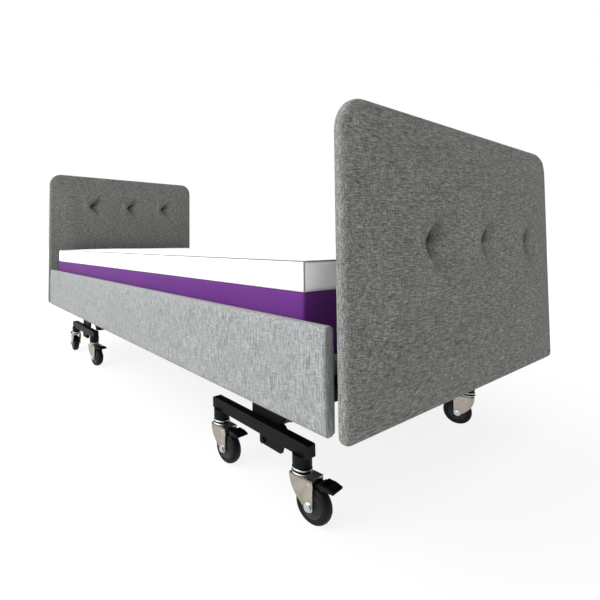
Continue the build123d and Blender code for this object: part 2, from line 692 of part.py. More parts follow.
def build_board(label, inner_x, outer_x, face_x, top, tuft_z):
    """Padded board with three tufts in the face turned towards the foot end."""
    x0, x1 = sorted((inner_x, outer_x))
    middle_z = (BOARD_BOTTOM + top) / 2
    with BuildPart() as board:
        with BuildSketch(Plane.YZ.offset(x0)) as outline:
            with Locations((0, middle_z)):
                Rectangle(BOARD_WIDTH, top - BOARD_BOTTOM)
            fillet(outline.vertices().group_by(Axis.Y)[-1], radius=BOARD_CORNER_RADIUS)
            fillet(outline.vertices().group_by(Axis.Y)[0], radius=BOARD_LOWER_RADIUS)
        extrude(amount=x1 - x0)
        fillet(board.faces().sort_by(Axis.X)[-1].edges(), radius=BOARD_EDGE_RADIUS)
        fillet(board.faces().sort_by(Axis.X)[0].edges(), radius=BOARD_EDGE_RADIUS)
        for y in (-TUFT_PITCH, 0, TUFT_PITCH):
            with Locations(Location((face_x - TUFT_DEPTH / 2, y, tuft_z), (0, 90, 0))):
                Cone(TUFT_FLOOR_RADIUS, TUFT_RADIUS, TUFT_DEPTH, mode=Mode.SUBTRACT)
    save(board.part, label)


BOARD_OUTER_X = BOARD_INNER_X + BOARD_THICKNESS
build_board("footboard", BOARD_INNER_X, BOARD_OUTER_X, BOARD_OUTER_X, FOOTBOARD_TOP, FOOTBOARD_TUFT_Z)
build_board("headboard", -BOARD_INNER_X, -BOARD_OUTER_X, -BOARD_INNER_X, HEADBOARD_TOP, HEADBOARD_TUFT_Z)

for label, side in (("side_rail_left", -1), ("side_rail_right", 1)):
    y0, y1 = sorted((side * RAIL_OUTER_Y, side * (RAIL_OUTER_Y - RAIL_THICKNESS)))
    with BuildPart() as rail:
        box(-RAIL_LENGTH / 2, RAIL_LENGTH / 2, y0, y1, RAIL_BOTTOM, RAIL_TOP)
        fillet(rail.edges().filter_by(Axis.X), radius=RAIL_EDGE_RADIUS)
    save(rail.part, label)


# ---- Mattress: a purple core and a white top, cut where the platform folds ----

BACK_LEAN = BACK_ANGLE / 2 + 0.5
THIGH_LEAN = THIGH_ANGLE / 2 + 0.5


def leaning(hinge_x, lean, z, gap):
    """X of a face that leans from a hinge line, at height z, moved along X by a gap."""
    return hinge_x + (z - HINGE_Z) * tan(radians(lean)) + gap


def mattress_block(low, high, left, right):
    """Block across the bed between two leaning end faces, given as functions of height."""
    points = ((left(low), low), (right(low), low), (right(high), high), (left(high), high))
    side_plate(points, -MATTRESS_HALF_WIDTH, MATTRESS_HALF_WIDTH)


def head_end(z):
    return MATTRESS_HEAD_X


def back_fold_back(z):
    return leaning(BACK_HINGE_X, -BACK_LEAN, z, -MATTRESS_GAP)


def back_fold_seat(z):
    return leaning(BACK_HINGE_X, BACK_LEAN, z, MATTRESS_GAP)


def thigh_fold_seat(z):
    return leaning(THIGH_HINGE_X, -THIGH_LEAN, z, -MATTRESS_GAP)


def thigh_fold_thigh(z):
    return leaning(THIGH_HINGE_X, THIGH_LEAN, z, MATTRESS_GAP)


def calf_cut_thigh(z):
    return CALF_HINGE_X - MATTRESS_GAP


def calf_cut_calf(z):
    return CALF_HINGE_X + MATTRESS_GAP


def foot_end(z):
    return MATTRESS_FOOT_X


MATTRESS_PIECES = (
    ("back", head_end, back_fold_back),
    ("seat", back_fold_seat, thigh_fold_seat),
    ("thigh", thigh_fold_thigh, calf_cut_thigh),
    ("calf", calf_cut_calf, foot_end),
)
for label, left, right in MATTRESS_PIECES:
    with BuildPart() as core:
        mattress_block(MATTRESS_BOTTOM, MATTRESS_LAYER_Z, left, right)
    save(core.part, f"mattress_core_{label}")
    with BuildPart() as topper:
        mattress_block(MATTRESS_LAYER_Z, MATTRESS_TOP, left, right)
    save(topper.part, f"mattress_top_{label}")


def back_wedge_low(z):
    return back_fold_back(z) + 2 * MATTRESS_GAP


def back_wedge_high(z):
    return back_fold_seat(z) - 2 * MATTRESS_GAP


def thigh_wedge_low(z):
    return thigh_fold_seat(z) + 2 * MATTRESS_GAP


def thigh_wedge_high(z):
    return thigh_fold_thigh(z) - 2 * MATTRESS_GAP


with BuildPart() as folds:
    mattress_block(MATTRESS_BOTTOM, MATTRESS_TOP, back_wedge_low, back_wedge_high)
    mattress_block(MATTRESS_BOTTOM, MATTRESS_TOP, thigh_wedge_low, thigh_wedge_high)
save(folds.part, "mattress_folds")
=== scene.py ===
"""Looks for the adjustable hospital bed: tufted linen boards, wrapped rails, two-tone mattress, castors."""

import json
import math

import bmesh
import bpy
import numpy as np
from mathutils import Matrix, Vector


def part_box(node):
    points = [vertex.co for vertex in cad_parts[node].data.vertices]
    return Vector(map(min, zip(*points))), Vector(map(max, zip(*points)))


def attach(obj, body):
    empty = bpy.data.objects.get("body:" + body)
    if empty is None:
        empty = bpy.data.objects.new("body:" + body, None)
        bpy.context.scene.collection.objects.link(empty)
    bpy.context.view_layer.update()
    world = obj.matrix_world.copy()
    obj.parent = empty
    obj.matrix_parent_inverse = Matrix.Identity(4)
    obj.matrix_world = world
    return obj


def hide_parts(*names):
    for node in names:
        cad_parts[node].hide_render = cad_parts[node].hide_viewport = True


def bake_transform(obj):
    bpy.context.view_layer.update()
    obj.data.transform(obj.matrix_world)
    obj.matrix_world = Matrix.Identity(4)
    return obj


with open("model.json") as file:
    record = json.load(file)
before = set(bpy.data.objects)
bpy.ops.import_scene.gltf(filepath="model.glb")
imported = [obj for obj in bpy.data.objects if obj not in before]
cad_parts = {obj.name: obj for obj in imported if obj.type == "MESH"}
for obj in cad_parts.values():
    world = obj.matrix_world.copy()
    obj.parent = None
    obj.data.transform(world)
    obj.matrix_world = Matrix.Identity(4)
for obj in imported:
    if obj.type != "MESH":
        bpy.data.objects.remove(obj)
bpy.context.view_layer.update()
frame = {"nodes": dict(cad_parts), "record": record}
record = frame["record"]
nodes = frame["nodes"]


# ---------------------------------------------------------------- materials

class Shader:
    """A principled material with a few shortcuts for building its node tree."""

    def __init__(self, name, base, rough, metallic=0.0):
        self.material = bpy.data.materials.new(name)
        self.material.use_nodes = True
        self.tree = self.material.node_tree
        self.principled = self.tree.nodes["Principled BSDF"]
        self.set("Base Color", (*base, 1.0))
        self.set("Roughness", rough)
        self.set("Metallic", metallic)

    def set(self, socket, value):
        self.principled.inputs[socket].default_value = value

    def node(self, kind, **settings):
        made = self.tree.nodes.new(kind)
        for key, value in settings.items():
            if key.startswith("in_"):
                made.inputs[key[3:].replace("_", " ")].default_value = value
            else:
                setattr(made, key, value)
        return made

    def link(self, a, b):
        self.tree.links.new(a, b)

    def place(self, scale):
        """Object coordinates stretched by a scale along each axis."""
        coords = self.node("ShaderNodeTexCoord")
        mapping = self.node("ShaderNodeMapping")
        mapping.inputs["Scale"].default_value = scale
        self.link(coords.outputs["Object"], mapping.inputs["Vector"])
        return mapping.outputs["Vector"]

    def noise(self, scale, detail=2.0, roughness=0.5, distortion=0.0):
        made = self.node("ShaderNodeTexNoise")
        made.inputs["Scale"].default_value = 1.0
        made.inputs["Detail"].default_value = detail
        made.inputs["Roughness"].default_value = roughness
        made.inputs["Distortion"].default_value = distortion
        self.link(self.place(scale), made.inputs["Vector"])
        return made.outputs["Fac"]

    def math(self, operation, a, b=None, clamp=False):
        made = self.node("ShaderNodeMath", operation=operation, use_clamp=clamp)
        for socket, value in zip(made.inputs, (a, b)):
            if value is None:
                continue
            if isinstance(value, (int, float)):
                socket.default_value = value
            else:
                self.link(value, socket)
        return made.outputs[0]

    def span(self, value, low, high, to_low=0.0, to_high=1.0, smooth=False):
        made = self.node("ShaderNodeMapRange")
        if smooth:
            made.interpolation_type = "SMOOTHSTEP"
        self.link(value, made.inputs["Value"])
        for key, number in (("From Min", low), ("From Max", high), ("To Min", to_low), ("To Max", to_high)):
            made.inputs[key].default_value = number
        return made.outputs["Result"]

    def ramp(self, value, stops):
        made = self.node("ShaderNodeValToRGB")
        elements = made.color_ramp.elements
        while len(elements) < len(stops):
            elements.new(0.5)
        for element, (at, colour) in zip(elements, stops):
            element.position = at
            element.color = (*colour, 1.0)
        self.link(value, made.inputs["Fac"])
        return made.outputs["Color"]

    def colour(self, output):
        self.link(output, self.principled.inputs["Base Color"])

    def rough(self, output):
        self.link(output, self.principled.inputs["Roughness"])

    def bump(self, height, strength, distance):
        made = self.node("ShaderNodeBump")
        made.inputs["Strength"].default_value = strength
        made.inputs["Distance"].default_value = distance
        self.link(height, made.inputs["Height"])
        self.link(made.outputs["Normal"], self.principled.inputs["Normal"])


YARN_FINENESS = 560.0
YARN_RUNS = (48.0, 90.0)
YARN_CONTRAST = 2.4


def linen(name, along, dark, mid, light):
    """Slubby linen: yarns running along two axes of the cloth, with thick and thin stretches."""
    shader = Shader(name, mid, 0.95)
    shader.set("Sheen Weight", 0.05)
    shader.set("Sheen Roughness", 0.5)
    shader.set("Specular IOR Level", 0.2)
    yarns = []
    for axis, run in zip(along, YARN_RUNS):
        scale = [YARN_FINENESS] * 3
        scale["XYZ".index(axis)] = run
        yarns.append(shader.noise(scale, detail=1.0, roughness=0.5))
    spread = shader.math(
        "ADD", shader.math("MULTIPLY", yarns[0], 0.6), shader.math("MULTIPLY", yarns[1], 0.4)
    )
    fibres = shader.noise((900.0, 900.0, 900.0), detail=1.0)
    cloud = shader.noise((9.0, 9.0, 9.0), detail=2.0)
    mixed = shader.math("MULTIPLY", shader.math("SUBTRACT", spread, 0.5), YARN_CONTRAST)
    mixed = shader.math("ADD", mixed, shader.math("MULTIPLY", shader.math("SUBTRACT", fibres, 0.5), 0.8))
    mixed = shader.math("ADD", mixed, shader.math("MULTIPLY", shader.math("SUBTRACT", cloud, 0.5), 0.15))
    mixed = shader.math("ADD", mixed, 0.5, clamp=True)
    shader.bump(mixed, 0.5, 0.0009)
    # painted shade: the weave colour is darkened by the board's painted crease shade attribute; on pieces
    # without that attribute it reads zero and nothing is darkened
    painted_crease_shade = shader.node("ShaderNodeAttribute", attribute_name="painted_crease_shade")
    shade = shader.math("SUBTRACT", 1.0, painted_crease_shade.outputs["Fac"])
    colour_with_painted_shade = shader.node("ShaderNodeMix", data_type="RGBA", blend_type="MULTIPLY")
    colour_with_painted_shade.inputs["Factor"].default_value = 1.0
    shader.link(shader.ramp(mixed, ((0.10, dark), (0.5, mid), (0.9, light))), colour_with_painted_shade.inputs["A"])
    shader.link(shade, colour_with_painted_shade.inputs["B"])
    shader.colour(colour_with_painted_shade.outputs["Result"])
    return shader.material


def knit(name, base, deep):
    """Smooth stretch cover: a fine knit with faint cloudiness."""
    shader = Shader(name, base, 0.8)
    shader.set("Sheen Weight", 0.03)
    shader.set("Specular IOR Level", 0.2)
    stitch = shader.noise((900.0, 900.0, 900.0), detail=1.0)
    cloud = shader.noise((7.0, 7.0, 7.0), detail=3.0)
    mixed = shader.math("ADD", shader.math("MULTIPLY", stitch, 0.35), shader.math("MULTIPLY", cloud, 0.65))
    shader.colour(shader.ramp(mixed, ((0.3, deep), (0.62, base))))
    shader.bump(stitch, 0.25, 0.0004)
    return shader.material


def powder_coat(name, base, rough=0.42):
    shader = Shader(name, base, rough)
    shader.set("Specular IOR Level", 0.12)
    grain = shader.noise((700.0, 700.0, 700.0), detail=2.0)
    wear = shader.noise((14.0, 14.0, 14.0), detail=4.0)
    lighter = tuple(min(1.0, c * 1.3 + 0.001) for c in base)
    shader.colour(shader.ramp(wear, ((0.35, base), (0.8, lighter))))
    shader.rough(shader.span(wear, 0.3, 0.75, rough - 0.08, rough + 0.15))
    shader.bump(grain, 0.18, 0.0003)
    return shader.material


def zinc_plate(name, base, rough):
    shader = Shader(name, base, rough, 1.0)
    brushed = shader.noise((60.0, 60.0, 900.0), detail=3.0)
    stain = shader.noise((55.0, 55.0, 55.0), detail=3.0)
    darker = tuple(c * 0.78 for c in base)
    shader.colour(shader.ramp(stain, ((0.3, darker), (0.65, base))))
    shader.rough(shader.span(brushed, 0.3, 0.7, rough - 0.06, rough + 0.12))
    shader.bump(brushed, 0.12, 0.0002)
    return shader.material


def rubber(name, base):
    shader = Shader(name, base, 0.55)
    shader.set("Specular IOR Level", 0.16)
    dust = shader.noise((90.0, 90.0, 90.0), detail=4.0)
    grain = shader.noise((1200.0, 1200.0, 1200.0), detail=1.0)
    dusty = tuple(c * 1.6 + 0.001 for c in base)
    shader.colour(shader.ramp(dust, ((0.42, base), (0.85, dusty))))
    shader.rough(shader.span(dust, 0.3, 0.8, 0.45, 0.8))
    shader.bump(grain, 0.2, 0.0003)
    return shader.material


# The boards and rails are one cloth. The board copy is painted darker as painted shade for faces turned
# from the key light, and the rail copy is painted lighter as painted light. This comes on top of the lamps'
# own difference; the weave direction differs for real.
BOARD_LINEN_PAINTED_SHADE = linen("board_linen_painted_shade", "YZ", (0.060, 0.064, 0.059), (0.150, 0.156, 0.146), (0.29, 0.30, 0.275))
RAIL_LINEN_PAINTED_LIGHT = linen("rail_linen_painted_light", "ZX", (0.12, 0.124, 0.125), (0.218, 0.225, 0.227), (0.33, 0.34, 0.342))
WHITE_KNIT = knit("white_knit", (0.88, 0.88, 0.88), (0.80, 0.80, 0.81))
PURPLE_KNIT = knit("purple_knit", (0.088, 0.013, 0.142), (0.080, 0.011, 0.130))
PIPING = knit("grey_piping", (0.20, 0.20, 0.21), (0.15, 0.15, 0.16))
BLACK_STEEL = powder_coat("black_powder_coat", (0.0015, 0.0015, 0.0018), 0.5)
GREY_STEEL = powder_coat("grey_powder_coat", (0.20, 0.205, 0.21), 0.5)
BLACK_PLASTIC = powder_coat("black_moulded_plastic", (0.0025, 0.0025, 0.003), 0.45)
ZINC = zinc_plate("zinc_plate", (0.40, 0.365, 0.31), 0.34)
BRIGHT_ZINC = zinc_plate("bright_zinc", (0.60, 0.63, 0.65), 0.2)
CHROME = zinc_plate("polished_rod", (0.80, 0.80, 0.81), 0.12)
TYRE = rubber("tyre_rubber", (0.0022, 0.0024, 0.0026))
HUB = powder_coat("hub_plastic", (0.022, 0.024, 0.028), 0.4)

SLOT_MATERIAL = {
    "board_fabric": BOARD_LINEN_PAINTED_SHADE,
    "rail_fabric": RAIL_LINEN_PAINTED_LIGHT,
    "mattress_white": WHITE_KNIT,
    "mattress_purple": PURPLE_KNIT,
    "black_steel": BLACK_STEEL,
    "grey_steel": GREY_STEEL,
    "zinc": ZINC,
    "chrome_rod": CHROME,
    "tyre": TYRE,
    "black_plastic": BLACK_PLASTIC,
}
for part in record["subparts"]:
    node = nodes[part["node"]]
    for material_slot in node.material_slots:
        material_slot.material = SLOT_MATERIAL[part["material_slot"]]


# ---------------------------------------------------------------- mesh helpers

def make_object(name, vertices, faces, materials, face_materials=None, smooth=True):
    mesh = bpy.data.meshes.new(name)
    mesh.from_pydata([tuple(map(float, v)) for v in vertices], [], [tuple(map(int, f)) for f in faces])
    for material in materials:
        mesh.materials.append(material)
    if face_materials is not None:
        mesh.polygons.foreach_set("material_index", list(face_materials))
    mesh.polygons.foreach_set("use_smooth", [smooth] * len(mesh.polygons))
    mesh.validate()
    mesh.update()
    made = bpy.data.objects.new(name, mesh)
    bpy.context.scene.collection.objects.link(made)
    return made


def add_modifier(obj, kind, **settings):
    made = obj.modifiers.new(kind.lower(), kind)
    for key, value in settings.items():
        setattr(made, key, value)
    return made


def apply_modifiers(obj):
    """Replace an object's mesh by its evaluated form."""
    graph = bpy.context.evaluated_depsgraph_get()
    evaluated = obj.evaluated_get(graph)
    mesh = bpy.data.meshes.new_from_object(evaluated)
    obj.modifiers.clear()
    obj.data = mesh
    mesh.polygons.foreach_set("use_smooth", [True] * len(mesh.polygons))


def coordinates(obj):
    points = np.zeros(len(obj.data.vertices) * 3)
    obj.data.vertices.foreach_get("co", points)
    return points.reshape(-1, 3)


def set_coordinates(obj, points):
    obj.data.vertices.foreach_set("co", points.ravel())
    obj.data.update()


def smoothstep(low, high, value):
    t = np.clip((value - low) / (high - low), 0.0, 1.0)
    return t * t * (3.0 - 2.0 * t)


def copy_of_node(name, node):
    made = bpy.data.objects.new(name, nodes[node].data.copy())
    bpy.context.scene.collection.objects.link(made)
    return made


def remeshed(obj, size):
    add_modifier(obj, "REMESH", mode="VOXEL", voxel_size=size, use_smooth_shade=True)
    apply_modifiers(obj)


# ---------------------------------------------------------------- camera and light

camera_data = bpy.data.cameras.new("camera")
camera = bpy.data.objects.new("camera", camera_data)
bpy.context.scene.collection.objects.link(camera)
bpy.context.scene.camera = camera
# lens and sensor in millimetres; the lens is shifted sideways and down across the sensor
SENSOR, LENS = 36.0, 24.768
LENS_SHIFT = (4.356, -4.368)
YAW, PITCH, ROLL = (math.radians(a) for a in (54.3, -2.2, -0.3))
camera_data.sensor_width = SENSOR
camera_data.lens = LENS
camera_data.shift_x = LENS_SHIFT[0] / SENSOR
camera_data.shift_y = LENS_SHIFT[1] / SENSOR
camera_data.clip_end = 200.0
forward = Vector((-math.sin(YAW) * math.cos(PITCH), math.cos(YAW) * math.cos(PITCH), -math.sin(PITCH)))
level = Vector((math.cos(YAW), math.sin(YAW), 0.0))
raised = level.cross(forward)
right = level * math.cos(ROLL) + raised * math.sin(ROLL)
up = raised * math.cos(ROLL) - level * math.sin(ROLL)
turn = Matrix((right, up, -forward)).transposed()
camera.matrix_world = Matrix.Translation((1.5436, -1.0606, 0.6015)) @ turn.to_4x4()

world = bpy.data.worlds.new("studio")
bpy.context.scene.world = world
world.use_nodes = True
sky = world.node_tree
background = sky.nodes["Background"]
seen = sky.nodes.new("ShaderNodeBackground")
seen.inputs["Color"].default_value = (1, 1, 1, 1)
seen.inputs["Strength"].default_value = 1.0
path = sky.nodes.new("ShaderNodeLightPath")
mixer = sky.nodes.new("ShaderNodeMixShader")
coords = sky.nodes.new("ShaderNodeTexCoord")
dot = sky.nodes.new("ShaderNodeVectorMath")
dot.operation = "DOT_PRODUCT"
dot.inputs[1].default_value = Vector((-0.35, -0.85, 0.40)).normalized()
strength = sky.nodes.new("ShaderNodeMapRange")
strength.interpolation_type = "SMOOTHSTEP"
for key, number in (("From Min", -0.1), ("From Max", 1.0), ("To Min", 0.10), ("To Max", 2.6)):
    strength.inputs[key].default_value = number
sky.links.new(coords.outputs["Generated"], dot.inputs[0])
sky.links.new(dot.outputs["Value"], strength.inputs["Value"])
sky.links.new(strength.outputs["Result"], background.inputs["Strength"])
background.inputs["Color"].default_value = (1.0, 1.0, 1.0, 1.0)
sky.links.new(path.outputs["Is Camera Ray"], mixer.inputs["Fac"])
sky.links.new(background.outputs[0], mixer.inputs[1])
sky.links.new(seen.outputs[0], mixer.inputs[2])
sky.links.new(mixer.outputs[0], sky.nodes["World Output"].inputs["Surface"])

FLOOR_HALF = 60
floor_corners = [(x * FLOOR_HALF, y * FLOOR_HALF, 0) for x, y in ((-1, -1), (1, -1), (1, 1), (-1, 1))]
floor = make_object("floor", floor_corners, [(0, 1, 2, 3)], [], smooth=False)
floor_shader = Shader("pale_floor", (0.9, 0.9, 0.9), 0.9)
reach = floor_shader.node("ShaderNodeVectorMath", operation="LENGTH")
floor_shader.link(floor_shader.place((1, 1, 1)), reach.inputs[0])
glow = floor_shader.span(reach.outputs["Value"], 1.2, 5.0, 0.86, 1.0, smooth=True)
floor_shader.set("Emission Color", (1, 1, 1, 1))
floor_shader.link(glow, floor_shader.principled.inputs["Emission Strength"])
floor_shader.set("Base Color", (0.12, 0.12, 0.12, 1))
floor.data.materials.append(floor_shader.material)

key_data = bpy.data.lights.new("key", "AREA")
key_data.shape = "RECTANGLE"
key_data.size, key_data.size_y, key_data.energy = 2.4, 1.6, 46.0
key = bpy.data.objects.new("key", key_data)
bpy.context.scene.collection.objects.link(key)
key.location = (0.0, -3.0, 2.3)
key.rotation_euler = (Vector((0.2, 0.0, 0.45)) - key.location).to_track_quat("-Z", "Y").to_euler()
bpy.context.scene.view_settings.view_transform = "Standard"


# ---------------------------------------------------------------- padded boards

BOARD_VOXEL = 0.005
TUFT_YS = (-0.245, 0.0, 0.245)
TUFT_FILL_RADIUS = 0.046
TUFT_OPENING = 0.95
TUFT_HALF_HEIGHT = 0.040
TUFT_DEPTH = 0.027
CREASE_LENGTH = 0.030
# CREASE_HALF_HEIGHT and CREASE_SHADE set how tall and how strong the painted shade is in each tuft's crease
CREASE_HALF_HEIGHT = 0.037
CREASE_SHADE = 0.93
SWELL = 0.0060


def padded_board(name, node, tuft_z):
    """Upholstered board: foam crown, soft thin edge and three deep tufts pulled into the +X face."""
    low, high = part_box(node)
    board = copy_of_node(name, node)
    remeshed(board, BOARD_VOXEL)
    points = coordinates(board)
    thickness = high.x - low.x
    edge = np.minimum.reduce([
        points[:, 1] - low.y,
        high.y - points[:, 1],
        points[:, 2] - low.z,
        high.z - points[:, 2],
    ])
    across = (points[:, 0] - low.x) / thickness
    front = smoothstep(0.30, 0.65, across)
    # the cone cut in the core is filled before the cloth is pulled in
    for tuft_y in TUFT_YS:
        away = np.hypot(points[:, 1] - tuft_y, points[:, 2] - tuft_z)
        inside = (away < TUFT_FILL_RADIUS) & (across > 0.45)
        across = np.where(inside, 1.0, across)
    front = np.maximum(front, smoothstep(0.30, 0.65, across))
    crown = smoothstep(-0.02, 0.15, edge)
    thin = 0.58 + 0.42 * crown
    points[:, 0] = low.x + thickness * (0.04 * (1 - thin) + across * thin * 0.985)
    # painted shade: a mask that darkens the cloth along each tuft's crease, heavier above the tuft centre,
    # in place of the shade the dent would cast
    painted_crease_shade = np.zeros(len(points))
    for tuft_y in TUFT_YS:
        dy = points[:, 1] - tuft_y
        dz = points[:, 2] - tuft_z
        beyond = dy - TUFT_OPENING * np.abs(dz)
        steep = np.exp(-np.clip(-beyond, 0, None) / 0.0055)
        gentle = np.exp(-((np.clip(beyond, 0, None) / CREASE_LENGTH) ** 1.2))
        window = np.exp(-((np.abs(dz) / TUFT_HALF_HEIGHT) ** 1.8))
        dent = TUFT_DEPTH * np.where(beyond < 0, steep, gentle) * window
        reach_out = np.where(beyond < 0.005, 0.0070, CREASE_LENGTH)
        fold = np.exp(-((beyond - 0.005) / reach_out) ** 2)
        above = 0.50 + 0.50 * smoothstep(-0.008, 0.010, dz)
        tall = np.exp(-((np.abs(dz) / CREASE_HALF_HEIGHT) ** 2))
        painted_crease_shade = np.maximum(painted_crease_shade, front * fold * above * tall)
        swell = SWELL * np.exp(-((dy + 0.022) / 0.018) ** 2 - (dz / 0.042) ** 2)
        points[:, 0] -= front * (dent - swell)
    set_coordinates(board, points)
    # the painted shade mask is stored as a point attribute, which the board linen multiplies into its
    # colour
    shade = board.data.attributes.new("painted_crease_shade", "FLOAT", "POINT")
    shade.data.foreach_set("value", CREASE_SHADE * painted_crease_shade)
    board.data.materials.clear()
    board.data.materials.append(BOARD_LINEN_PAINTED_SHADE)
    add_modifier(board, "SMOOTH", factor=0.5, iterations=1)
    add_modifier(board, "SUBSURF", levels=1, render_levels=1)
    apply_modifiers(board)
    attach(board, "deck")
    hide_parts(node)
    return board


padded_board("footboard_padding", "footboard", 0.597)
padded_board("headboard_padding", "headboard", 0.837)


# ---------------------------------------------------------------- wrapped side rails

RAIL_VOXEL = 0.006


def wrapped_rail(name, node):
    """Rail board wrapped in linen over thin foam, its faces very slightly uneven."""
    low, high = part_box(node)
    rail = copy_of_node(name, node)
    remeshed(rail, RAIL_VOXEL)
    points = coordinates(rail)
    side = np.sign(low.y + high.y)
    outer = high.y if side > 0 else low.y
    face = smoothstep(0.010, 0.0, np.abs(points[:, 1] - outer))
    ripple = 0.0007 * np.sin(points[:, 0] * 21.0 + 3.0 * points[:, 2])
    ripple = ripple + 0.0006 * np.sin(points[:, 2] * 34.0 + 1.3)
    from_edge = np.minimum(points[:, 2] - low.z, high.z - points[:, 2])
    pillow = 0.0012 * smoothstep(0.0, 0.05, from_edge) - 0.0012
    points[:, 1] += side * face * (ripple + pillow)
    set_coordinates(rail, points)
    rail.data.materials.clear()
    rail.data.materials.append(RAIL_LINEN_PAINTED_LIGHT)
    add_modifier(rail, "SMOOTH", factor=0.5, iterations=1)
    apply_modifiers(rail)
    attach(rail, "deck")
    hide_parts(node)


wrapped_rail("rail_cover_left", "side_rail_left")
wrapped_rail("rail_cover_right", "side_rail_right")


# ---------------------------------------------------------------- mattress

CUT_SEAT, CUT_THIGH = -0.050, 0.150
UNDERSIDE_LIFT = 0.022
BLENDS = (
    ("back", -9.0, CUT_SEAT, "back", "deck", -0.410, CUT_SEAT),
    ("seat", CUT_SEAT, CUT_THIGH, "deck", "thigh", CUT_SEAT, CUT_THIGH),
    ("foot", CUT_THIGH, 9.0, "thigh", "calf", CUT_THIGH, 0.510),
)
core_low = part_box("mattress_core_back")[0]
core_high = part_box("mattress_core_calf")[1]
top_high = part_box("mattress_top_calf")[1]


def underside(x):
    """How far the underside is lifted near the folds, so the folding sections stay clear of it."""
    return UNDERSIDE_LIFT * smoothstep(-0.47, -0.36, x) * (1.0 - smoothstep(0.33, 0.40, x))


def stations(x0, x1, step, ends):
    """Lengthwise stations, closer together at a rounded end."""
    count = max(2, int(round((x1 - x0) / step)))
    inner = list(np.linspace(x0, x1, count + 1))
    near = [0.0015, 0.004, 0.008, 0.013, 0.020]
    if ends[0]:
        inner += [x0 + d for d in near]
    if ends[1]:
        inner += [x1 - d for d in near]
    return np.array(sorted(set(inner)))


def section_outline(y0, y1, z0, z1, radius, count_y, count_z):
    """Closed rounded-rectangle outline, as (y, z) points with even spacing along the flats."""
    points = []
    corners = ((y1 - radius, z0 + radius, -90), (y1 - radius, z1 - radius, 0),
               (y0 + radius, z1 - radius, 90), (y0 + radius, z0 + radius, 180))
    sides = (count_z, count_y, count_z, count_y)
    for i, (cy, cz, start) in enumerate(corners):
        for k in range(5):
            a = math.radians(start + 90 * k / 4)
            points.append((cy + radius * math.cos(a), cz + radius * math.sin(a)))
        ny, nz, nstart = corners[(i + 1) % 4]
        a = math.radians(start + 90)
        here = (cy + radius * math.cos(a), cz + radius * math.sin(a))
        a = math.radians(nstart)
        there = (ny + radius * math.cos(a), nz + radius * math.sin(a))
        for k in range(1, sides[i]):
            t = k / sides[i]
            points.append((here[0] + (there[0] - here[0]) * t, here[1] + (there[1] - here[1]) * t))
    return np.array(points)


